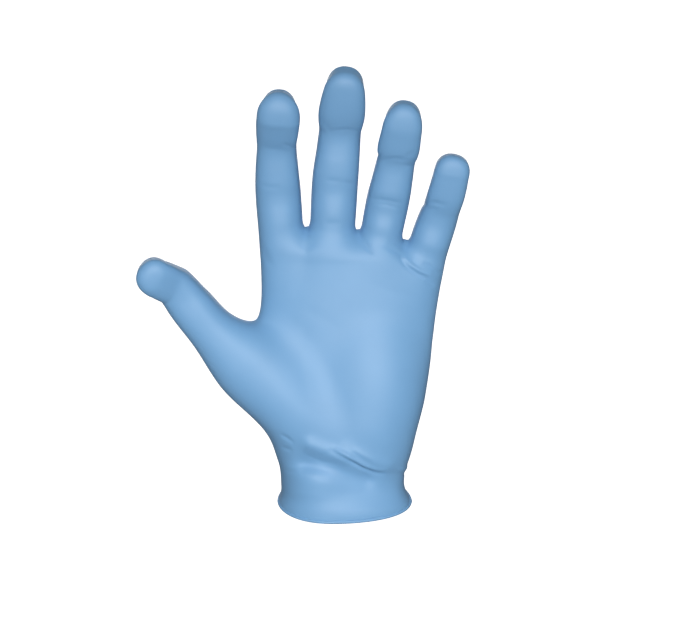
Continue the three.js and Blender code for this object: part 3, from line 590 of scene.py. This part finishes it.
class HandForm:
    """The worn shape of the film, as a distance that is below zero inside the glove. Millimetres."""

    def __init__(self, sizes):
        self.cuff_length = sizes.cuff_length / MILLIMETRE
        self.cuff_dip = sizes.cuff_dip / MILLIMETRE
        self.wrist_width = sizes.wrist_width / MILLIMETRE
        self.wrist_depth = sizes.wrist_depth / MILLIMETRE
        self.palm_length = sizes.palm_length / MILLIMETRE
        self.palm_width = sizes.palm_width / MILLIMETRE
        self.palm_depth = sizes.palm_depth / MILLIMETRE
        self.digits = [Digit(name, getattr(sizes, name), self) for name in DIGIT_STANDS]
        wide, deep = self.wrist_width, self.wrist_depth
        cuff = np.array(CUFF_SECTIONS) * (self.cuff_length, wide, wide, deep, deep, deep, 1)
        wide, deep = self.palm_width, self.palm_depth
        palm = np.array(PALM_SECTIONS) * (self.palm_length, wide, wide, deep, deep, deep, 1)
        palm[:, 0] += self.cuff_length
        self.trunk_sections = np.vstack([cuff, palm])

    def up(self, share):
        """The height of a place on the palm, given as a share of its length."""
        return self.cuff_length + share * self.palm_length

    def rim_height(self, y, radius):
        """The height of the middle of the bead."""
        return radius + self.cuff_dip * y / (self.wrist_depth / 2)

    def trunk(self, places):
        """The cuff and the palm."""
        x, y, z = places.T
        left, right, front, back, skew, roundness = smooth_rows(self.trunk_sections, z).T
        over = np.maximum(z - self.up(1) + WEB_SLOPE * x, 0)
        across = x - (left + right) / 2
        share = np.clip(2 * across / (right - left), -1, 1)
        through = y - (front + back) / 2 + skew * share * (1 - share ** 2)
        halves = (right - left) / 2, (back - front) / 2, WEB_HEIGHT
        return rounded_distance((across, through, over), halves, roundness)

    def heel(self, places):
        """The heel of the hand on the little finger's side."""
        across, through, up = HEEL_PLACE
        middle = (across * self.palm_width, through * self.palm_depth, self.up(up))
        offsets = [places[:, i] - middle[i] for i in range(3)]
        return rounded_distance(offsets, [size / 2 for size in HEEL_SIZE], HEEL_ROUNDNESS)

    def folds(self, places):
        """How far the palm side stands out of its smooth shape."""
        x, y, z = places.T
        palm_side = np.clip((-y / self.palm_depth - FOLDS_BEGIN) / (FOLDS_FULL - FOLDS_BEGIN), 0, 1)
        height = np.zeros(len(places))
        for from_across, from_up, to_across, to_up, high, reach in PALM_FOLDS:
            line = (from_across * self.palm_width, self.up(from_up), to_across * self.palm_width, self.up(to_up))
            away = away_from_line(x, z, line)[0] / (reach * self.palm_width)
            height += high * self.palm_depth * np.exp(-away * away)
        return palm_side * height

    def distance(self, places):
        """How far places lie outside the outer side of the film."""
        thumb, *fingers = [digit.distance(places) for digit in self.digits]
        spread = fingers[0]
        for finger in fingers[1:]:
            spread = soft_union(spread, finger, FINGER_SOFTNESS)
        palm = soft_union(self.trunk(places), self.heel(places), HEEL_SOFTNESS)
        hand = soft_union(soft_union(palm, thumb, THUMB_SOFTNESS), spread, PALM_SOFTNESS)
        return hand - self.folds(places)

    def slope(self, places, here=None):
        """The direction in which the distance grows, and how fast."""
        here = self.distance(places) if here is None else here
        ahead = [self.distance(places + SLOPE_STEP * axis) for axis in np.eye(3)]
        return np.stack([(distance - here) / SLOPE_STEP for distance in ahead], axis=1)

    def settle(self, places, rounds, flat=False):
        """Moves places onto the film, only sideways where flat is set."""
        for _ in range(rounds):
            here = self.distance(places)
            slope = self.slope(places, here)
            if flat:
                slope[:, 2] = 0
            shift = here / np.maximum((slope ** 2).sum(axis=1), LEAST_SLOPE)
            places = places - slope * np.clip(shift, -LONGEST_MOVE, LONGEST_MOVE)[:, None]
        return places

    def outward(self, places):
        """Unit directions out of the film."""
        slope = self.slope(places)
        return slope / np.linalg.norm(slope, axis=1)[:, None]

    def face_depth(self, x, z, side):
        """The film's y straight in front of (-1) or behind (+1) places of the hand."""
        near, far = np.full(len(x), LEAST_DEPTH), np.full(len(x), self.wrist_depth)
        for _ in range(DEPTH_HALVINGS):
            halfway = (near + far) / 2
            inside = self.distance(np.stack([x, side * halfway, z], axis=1)) < 0
            near, far = np.where(inside, halfway, near), np.where(inside, far, halfway)
        return side * near


def wrinkle_lines(form):
    """All wrinkles as (side, height, width, furrow, line), with their lines in millimetres."""
    for side, high, width, furrow, line in WRINKLES:
        yield side, high, width, furrow, [(across * form.palm_width, form.up(up)) for across, up in line]
    for digit in form.digits:
        for place, share, high, width in JOINT_WRINKLES[digit.name]:
            here = digit.frame_at(np.array([place]))[0]
            middle, along, across = (here[columns][FRONT_VIEW] for columns in (MIDDLE, ALONG, ACROSS))
            line = [middle + across * step * share * here[HALF_WIDTH] for step in JOINT_POINTS]
            bow = along * JOINT_BOW * digit.width
            yield 1, high, width, 0, [line[0], line[1] + bow, line[2] + bow, line[3]]


def wrinkle_heights(form, points, outward):
    """How far the wrinkles lift each point of the film."""
    heights = np.zeros(len(points))
    for side, high, width, furrow, line in wrinkle_lines(form):
        line = np.array(line)
        reach = WRINKLE_REACH * width
        low, top = line.min(axis=0) - reach, line.max(axis=0) + reach
        front_view = points[:, FRONT_VIEW]
        near = np.flatnonzero(((front_view > low) & (front_view < top)).all(axis=1))
        if side:
            near = near[outward[near, 1] * side > WRINKLE_EDGE]
        steps = np.hypot(*np.diff(line, axis=0).T)
        starts = np.concatenate([[0], np.cumsum(steps)])
        away = np.full(len(near), np.inf)
        above = np.ones(len(near))
        along = np.zeros(len(near))
        x, z = points[near, 0], points[near, 2]
        for i, length in enumerate(steps):
            (from_x, from_z), (to_x, to_z) = line[i], line[i + 1]
            distance, share = away_from_line(x, z, (from_x, from_z, to_x, to_z))
            closer = distance < away
            cross = (to_x - from_x) * (z - from_z) - (to_z - from_z) * (x - from_x)
            away = np.where(closer, distance, away)
            above = np.where(closer, np.sign(cross), above)
            along = np.where(closer, starts[i] + share * length, along)
        share = along / starts[-1]
        fade = 4 * share * (1 - share) if side else 1 - share ** 2
        profile = np.exp(-(away / width) ** 2)
        if furrow:
            profile = profile - FURROW_DEPTH * np.exp(-((above * away + FURROW_PLACE * width) / width) ** 2)
        facing = np.clip(WRINKLE_FACING * side * outward[near, 1], 0, 1) if side else 1.0
        heights[near] += high * fade * facing * profile
    return heights


class FilmRows:
    """Rows of points round the hand and its digits, each kept as four runs: front, right, back and left."""

    def __init__(self, form, rim_radius):
        self.form = form
        self.rim_radius = rim_radius
        self.points = []
        self.quads = []

    def add(self, place):
        """Keeps a point and gives its number."""
        self.points.append(np.asarray(place, float))
        return len(self.points) - 1

    def between(self, start, end, share):
        """A place between two points."""
        return self.points[start] + (self.points[end] - self.points[start]) * share

    def skin(self, lower, upper):
        """Faces from one row to the next."""
        below, above = loop_of(lower), loop_of(upper)
        for i, corner in enumerate(below):
            following = (i + 1) % len(below)
            self.quads.append((corner, below[following], above[following], above[i]))

    def hand_row(self, x, z):
        """A row round the hand from its places in the front view."""
        depths = {"front": self.form.face_depth(x, z, -1), "back": self.form.face_depth(x, z, 1)}
        row = {name: [self.add(place) for place in zip(x, depth, z)] for name, depth in depths.items()}
        for name, end in (("right", -1), ("left", 0)):
            front, back = row["front"][end], row["back"][end]
            row[name] = [self.add(self.between(front, back, i / SIDES)) for i in range(1, SIDES)]
        return row

    def seam(self, name, gaps):
        """Places along a seam line."""
        rows = SEAM_LINES[name]
        if name == "rim":
            up = RIM_SEAM * self.form.cuff_length / self.form.palm_length
            rows = [(gap, across, up) for gap, across in rows]
        across, up = smooth_rows(rows, gaps).T
        return across * self.form.palm_width, self.form.up(up)

    def rows_between(self, row, lower, upper, first_gap, count):
        """Rows from one seam line to the next."""
        gaps = np.arange(first_gap * COLUMNS, len(DIGIT_STANDS) * COLUMNS + 1) / COLUMNS
        from_x, from_z = self.seam(lower, gaps)
        to_x, to_z = self.seam(upper, gaps)
        for i in range(1, count + 1):
            share = i / count
            following = self.hand_row(from_x + (to_x - from_x) * share, from_z + (to_z - from_z) * share)
            self.skin(row, following)
            row = following
        return row

    def part(self, row, column, crest):
        """Parts a row at a web, whose crest joins its front to its back and belongs to both halves."""
        x, z = crest[0] * self.form.palm_width, self.form.up(crest[1])
        front, back = self.points[row["front"][column]], self.points[row["back"][column]]
        web = [self.add((x, front[1] + (back[1] - front[1]) * i / SIDES, z)) for i in range(1, SIDES)]
        left = {name: row[name][:column + 1] for name in ("front", "back")}
        right = {name: row[name][column:] for name in ("front", "back")}
        return {**left, "left": row["left"], "right": web}, {**right, "left": web, "right": row["right"]}

    def digit_row(self, digit, at, shrink=1.0, ahead=0.0):
        """A row round a digit, drawn in and moved ahead where it lies on the rounded end."""
        here = digit.frame_at(np.array([at]))[0]
        side_angle = math.pi * SIDES / (2 * COLUMNS + 2 * SIDES)

        def run(start, end, count, skip):
            angles = [start + (end - start) * i / count for i in range(skip, count - skip + 1)]
            return [self.add(here[MIDDLE] + here[ACROSS] * math.cos(angle) * here[HALF_WIDTH] * shrink
                             + here[THROUGH] * math.sin(angle) * here[HALF_DEPTH] * shrink + here[ALONG] * ahead)
                    for angle in angles]

        return {
            "front": run(-math.pi + side_angle, -side_angle, COLUMNS, 0),
            "right": run(-side_angle, side_angle, SIDES, 1),
            "back": run(math.pi - side_angle, side_angle, COLUMNS, 0),
            "left": run(-math.pi + side_angle, -math.pi - side_angle, SIDES, 1),
        }

    def close_tip(self, row, ahead):
        """Closes a digit with a grid of faces inside its last row."""
        grid = [row["front"]]
        for j in range(1, SIDES):
            left, right = row["left"][j - 1], row["right"][j - 1]
            line = [left]
            for i in range(1, COLUMNS):
                across = self.between(left, right, i / COLUMNS)
                through = self.between(row["front"][i], row["back"][i], j / SIDES)
                line.append(self.add((across + through) / 2 + ahead))
            grid.append(line + [right])
        grid.append(row["back"])
        for j in range(SIDES):
            for i in range(COLUMNS):
                self.quads.append((grid[j][i], grid[j][i + 1], grid[j + 1][i + 1], grid[j + 1][i]))

    def build_digit(self, digit, start):
        """The rows of one digit, from where it leaves the hand to its tip."""
        first = self.digit_row(digit, digit.free)
        halfway = {name: [self.add(self.between(*ends, 0.5)) for ends in zip(start[name], first[name])]
                   for name in start}
        self.skin(start, halfway)
        self.skin(halfway, first)
        lower = first
        count = max(1, round((digit.cap - digit.free) * digit.length / ROW_HEIGHT))
        for i in range(1, count + 1):
            upper = self.digit_row(digit, digit.free + (digit.cap - digit.free) * i / count)
            self.skin(lower, upper)
            lower = upper
        for angle in TIP_ANGLES:
            turn = math.radians(angle)
            upper = self.digit_row(digit, digit.cap, math.cos(turn), digit.round * math.sin(turn))
            self.skin(lower, upper)
            lower = upper
        left = digit.round * (1 - math.sin(math.radians(TIP_ANGLES[-1])))
        self.close_tip(lower, digit.steps[-1, ALONG] * left)

    def build(self):
        """All rows, from the rim to the fingertips."""
        gaps = np.arange(0, len(DIGIT_STANDS) * COLUMNS + 1) / COLUMNS
        rim = self.hand_row(*self.seam("rim", gaps))
        wrist = self.rows_between(rim, "rim", "wrist", 0, CUFF_ROWS)
        palm = self.rows_between(wrist, "wrist", "thumb", 0, PALM_ROWS)
        thumb, palm = self.part(palm, COLUMNS, WEB_CRESTS[0])
        rest = self.rows_between(palm, "thumb", "fingers", 1, KNUCKLE_ROWS)
        starts = [thumb]
        for crest in WEB_CRESTS[1:]:
            start, rest = self.part(rest, COLUMNS, crest)
            starts.append(start)
        starts.append(rest)
        for digit, start in zip(self.form.digits, starts):
            self.build_digit(digit, start)
        self.even_out(loop_of(rim))

    def even_out(self, rim):
        """Evens out the faces and keeps every corner on the film."""
        homes = np.array(self.points)
        quads = np.array(self.quads)
        edges = np.vstack([quads[:, [i, (i + 1) % 4]] for i in range(4)])
        edges = np.unique(np.sort(edges, axis=1), axis=0)
        ends = np.vstack([edges, edges[:, ::-1]])
        count = np.bincount(ends[:, 0], minlength=len(homes))
        on_rim = np.zeros(len(homes), bool)
        on_rim[rim] = True
        places = homes.copy()
        for _ in range(EVENING_ROUNDS):
            sums = [np.bincount(ends[:, 0], weights=places[ends[:, 1], i], minlength=len(homes)) for i in range(3)]
            middles = np.stack(sums, axis=1) / count[:, None]
            moved = homes + (middles - homes) * EVENING_SHARE
            moved[on_rim] = places[on_rim]
            places = self.form.settle(moved, 1)
            places[on_rim, 2] = self.form.rim_height(places[on_rim, 1], self.rim_radius)
        self.points = places


def loop_of(row):
    """A row's points in order round the hand."""
    return row["front"] + row["right"] + row["back"][::-1] + row["left"][::-1]


def subdivided(points, quads, levels):
    """The mesh with its faces divided into smaller ones on a smooth surface."""
    mesh = bpy.data.meshes.new("film_rows")
    mesh.from_pydata([tuple(point) for point in points], [], [tuple(map(int, quad)) for quad in quads])
    carrier = bpy.data.objects.new("film_rows", mesh)
    bpy.context.scene.collection.objects.link(carrier)
    divide = carrier.modifiers.new("Subdivision", "SUBSURF")
    divide.levels = divide.render_levels = levels
    evaluated = carrier.evaluated_get(bpy.context.evaluated_depsgraph_get())
    fine = bpy.data.meshes.new_from_object(evaluated)
    places = np.empty(len(fine.vertices) * 3)
    fine.vertices.foreach_get("co", places)
    corners = np.empty(len(fine.polygons) * 4, np.int32)
    fine.loops.foreach_get("vertex_index", corners)
    bpy.data.objects.remove(carrier)
    bpy.data.meshes.remove(mesh)
    bpy.data.meshes.remove(fine)
    return places.reshape(-1, 3), corners.reshape(-1, 4)


def rim_corners(count, faces):
    """Which points lie on the open edge of a mesh."""
    edges = np.sort(np.vstack([faces[:, [i, (i + 1) % 4]] for i in range(4)]), axis=1)
    edges, uses = np.unique(edges, axis=0, return_counts=True)
    on_rim = np.zeros(count, bool)
    on_rim[edges[uses == 1].ravel()] = True
    return on_rim


def new_piece(name, points, faces, material):
    """A smooth-shaded mesh piece in metres that rides on the glove and stands for its solid."""
    mesh = bpy.data.meshes.new(name)
    mesh.from_pydata((np.asarray(points) * MILLIMETRE).tolist(), [], np.asarray(faces).tolist())
    mesh.validate()
    mesh.shade_smooth()
    mesh.materials.append(material)
    piece = bpy.data.objects.new(name, mesh)
    bpy.context.scene.collection.objects.link(piece)
    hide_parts("glove")
    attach(piece, "root")
    return piece


def nitrile_material(look):
    """Satin nitrile: a blue that varies a little with the thickness of the dip, and a very fine grain."""
    material = bpy.data.materials.get("nitrile_film")
    if material is not None:
        return material
    material = bpy.data.materials.new("nitrile_film")
    material.use_nodes = True
    nodes, links = material.node_tree.nodes, material.node_tree.links
    shader = nodes["Principled BSDF"]
    place = nodes.new("ShaderNodeTexCoord").outputs["Object"]

    def noise(label, scale, detail):
        texture = nodes.new("ShaderNodeTexNoise")
        texture.label = label
        texture.inputs["Scale"].default_value = scale
        texture.inputs["Detail"].default_value = detail
        links.new(place, texture.inputs["Vector"])
        return texture.outputs["Fac"]

    def bump(height, strength, distance):
        relief = nodes.new("ShaderNodeBump")
        relief.inputs["Strength"].default_value = strength
        relief.inputs["Distance"].default_value = distance
        links.new(height, relief.inputs["Height"])
        return relief

    dip = noise(*DIP_NOISE)
    blues = nodes.new("ShaderNodeValToRGB")
    for element, position, colour in zip(blues.color_ramp.elements, DIP_RANGE, (look.deep_blue, look.blue)):
        element.position = position
        element.color = colour
    links.new(dip, blues.inputs["Fac"])
    links.new(blues.outputs["Color"], shader.inputs["Base Color"])

    dullness = nodes.new("ShaderNodeMapRange")
    dullness.inputs["To Min"].default_value = look.roughness - ROUGHNESS_SWAY
    dullness.inputs["To Max"].default_value = look.roughness + ROUGHNESS_SWAY
    links.new(dip, dullness.inputs["Value"])
    links.new(dullness.outputs["Result"], shader.inputs["Roughness"])

    fine_bump = bump(noise(*GRAIN_NOISE), *GRAIN_BUMP)
    soft_bump = bump(noise(*RIPPLE_NOISE), *RIPPLE_BUMP)
    links.new(fine_bump.outputs["Normal"], soft_bump.inputs["Normal"])
    links.new(soft_bump.outputs["Normal"], shader.inputs["Normal"])
    return material


class GLOVE_OT_form_film(bpy.types.Operator):
    """Form the film over the spread hand, with its outer and inner side"""

    bl_idname = "glove.form_film"
    bl_label = "Form the Film"

    def execute(self, context):
        sizes = context.scene.glove_sizes
        form = HandForm(sizes)
        rows = FilmRows(form, sizes.bead_diameter / 2 / MILLIMETRE)
        rows.build()
        sides = []
        for levels, wall in ((OUTER_LEVELS, 0.0), (INNER_LEVELS, sizes.film_wall / MILLIMETRE)):
            points, faces = subdivided(rows.points, rows.quads, levels)
            on_rim = rim_corners(len(points), faces)
            points = form.settle(points, SETTLING_ROUNDS)
            points[on_rim, 2] = form.rim_height(points[on_rim, 1], rows.rim_radius)
            outward = form.outward(points)
            sides.append((points + outward * (wrinkle_heights(form, points, outward) - wall)[:, None], faces))
        (outer, outer_faces), (inner, inner_faces) = sides
        points = np.vstack([outer, inner])
        faces = np.vstack([outer_faces, inner_faces[:, ::-1] + len(outer)])
        new_piece("film", points, faces, nitrile_material(context.scene.nitrile_look))
        return {"FINISHED"}


class GLOVE_OT_roll_bead(bpy.types.Operator):
    """Roll the film's edge into the bead round the opening"""

    bl_idname = "glove.roll_bead"
    bl_label = "Roll the Bead"

    def execute(self, context):
        sizes = context.scene.glove_sizes
        form = HandForm(sizes)
        radius = sizes.bead_diameter / 2 / MILLIMETRE
        wall = sizes.film_wall / MILLIMETRE
        turn = np.linspace(0, 2 * math.pi, BEAD_STEPS, endpoint=False)
        line = np.zeros((BEAD_STEPS, 3))
        line[:, 0] = np.cos(turn) * form.wrist_width / 2
        line[:, 1] = np.sin(turn) * form.wrist_depth / 2
        for _ in range(BEAD_ROUNDS):
            line[:, 2] = form.rim_height(line[:, 1], radius)
            line = form.settle(line, 1, flat=True)
        out = form.outward(line)
        along = np.roll(line, -1, axis=0) - np.roll(line, 1, axis=0)
        along /= np.linalg.norm(along, axis=1)[:, None]
        up = np.cross(out, along)
        up /= np.linalg.norm(up, axis=1)[:, None]
        middle = line - out * wall / 2
        points, faces = [], []
        for facet in range(BEAD_FACETS):
            angle = 2 * math.pi * facet / BEAD_FACETS
            points.append(middle + radius * (out * math.cos(angle) + up * math.sin(angle)))
            start, following = facet * BEAD_STEPS, (facet + 1) % BEAD_FACETS * BEAD_STEPS
            for i in range(BEAD_STEPS):
                j = (i + 1) % BEAD_STEPS
                faces.append((start + i, start + j, following + j, following + i))
        new_piece("rolled_bead", np.vstack(points), faces, nitrile_material(context.scene.nitrile_look))
        return {"FINISHED"}


def aim(thing, target):
    """Turns a camera or light so that it looks at a point."""
    thing.rotation_euler = (target - thing.location).to_track_quat("-Z", "Y").to_euler()


class GLOVE_OT_set_stage(bpy.types.Operator):
    """Lay the pale floor, hang the soft lights and stand the camera"""

    bl_idname = "glove.set_stage"
    bl_label = "Set the Stage"

    def execute(self, context):
        look = context.scene.stage_look
        scene = context.scene

        points, faces = [(0.0, 0.0, -look.floor_drop)], []
        for reach, rise in FLOOR_PROFILE:
            for i in range(FLOOR_SIDES):
                angle = 2 * math.pi * i / FLOOR_SIDES
                points.append((reach * math.cos(angle), reach * math.sin(angle), rise - look.floor_drop))
        for i in range(FLOOR_SIDES):
            following = (i + 1) % FLOOR_SIDES
            faces.append((0, 1 + i, 1 + following))
            for ring in range(len(FLOOR_PROFILE) - 1):
                start = 1 + ring * FLOOR_SIDES
                beyond = start + FLOOR_SIDES
                faces.append((start + i, beyond + i, beyond + following, start + following))
        mesh = bpy.data.meshes.new("floor")
        mesh.from_pydata(points, [], faces)
        mesh.shade_smooth()
        floor = bpy.data.objects.new("floor", mesh)
        scene.collection.objects.link(floor)
        pale = bpy.data.materials.new("pale_floor")
        pale.use_nodes = True
        shader = pale.node_tree.nodes["Principled BSDF"]
        shader.inputs["Base Color"].default_value = look.floor_colour
        shader.inputs["Roughness"].default_value = FLOOR_ROUGHNESS
        shader.inputs["Emission Color"].default_value = look.floor_colour
        shader.inputs["Emission Strength"].default_value = 1.0
        mesh.materials.append(pale)
        floor.visible_diffuse = False
        floor.visible_glossy = False

        for name, place, width, height, power, spread in LIGHTS:
            light = bpy.data.lights.new(name, "AREA")
            light.shape = "RECTANGLE"
            light.size = width
            light.size_y = height
            light.energy = getattr(look, power)
            light.spread = math.radians(spread)
            lamp = bpy.data.objects.new(name, light)
            lamp.location = place
            scene.collection.objects.link(lamp)
            aim(lamp, Vector(LIGHT_TARGET))

        world = bpy.data.worlds.new("studio")
        scene.world = world
        world.use_nodes = True
        background = world.node_tree.nodes["Background"]
        background.inputs["Color"].default_value = (1.0, 1.0, 1.0, 1.0)
        background.inputs["Strength"].default_value = look.ambience

        lens = bpy.data.cameras.new("camera")
        lens.lens = CAMERA_LENS
        lens.sensor_width = SENSOR_WIDTH
        camera = bpy.data.objects.new("camera", lens)
        target = Vector(CAMERA_TARGET)
        lift = math.radians(CAMERA_LIFT)
        away, above = CAMERA_DISTANCE * math.cos(lift), CAMERA_DISTANCE * math.sin(lift)
        camera.location = target + Vector((0.0, -away, above))
        scene.collection.objects.link(camera)
        aim(camera, target)
        scene.camera = camera
        scene.view_settings.view_transform = "Standard"
        return {"FINISHED"}


class GLOVE_PT_sidebar(bpy.types.Panel):
    """The glove's sizes, colours and steps"""

    bl_idname = "GLOVE_PT_sidebar"
    bl_label = "Exam Glove"
    bl_space_type = "VIEW_3D"
    bl_region_type = "UI"
    bl_category = "Exam Glove"

    def draw(self, context):
        layout = self.layout
        for settings in (context.scene.glove_sizes, context.scene.nitrile_look, context.scene.stage_look):
            box = layout.box()
            for name in settings.__annotations__:
                box.prop(settings, name)
        for operator in STEPS:
            layout.operator(operator.bl_idname)


SETTINGS = (("glove_sizes", GloveSizes), ("nitrile_look", NitrileLook), ("stage_look", StageLook))
STEPS = (GLOVE_OT_form_film, GLOVE_OT_roll_bead, GLOVE_OT_set_stage)


def register():
    """Makes the glove's settings, steps and panel known to Blender."""
    for name, group in SETTINGS:
        bpy.utils.register_class(group)
        setattr(bpy.types.Scene, name, bpy.props.PointerProperty(type=group))
    for operator in STEPS:
        bpy.utils.register_class(operator)
    bpy.utils.register_class(GLOVE_PT_sidebar)


def unregister():
    """Takes them out again."""
    bpy.utils.unregister_class(GLOVE_PT_sidebar)
    for operator in reversed(STEPS):
        bpy.utils.unregister_class(operator)
    for name, group in reversed(SETTINGS):
        delattr(bpy.types.Scene, name)
        bpy.utils.unregister_class(group)


def main():
    """Makes the glove and its stage."""
    register()
    bpy.ops.glove.form_film()
    bpy.ops.glove.roll_bead()
    bpy.ops.glove.set_stage()


if __name__ == "__main__":
    main()
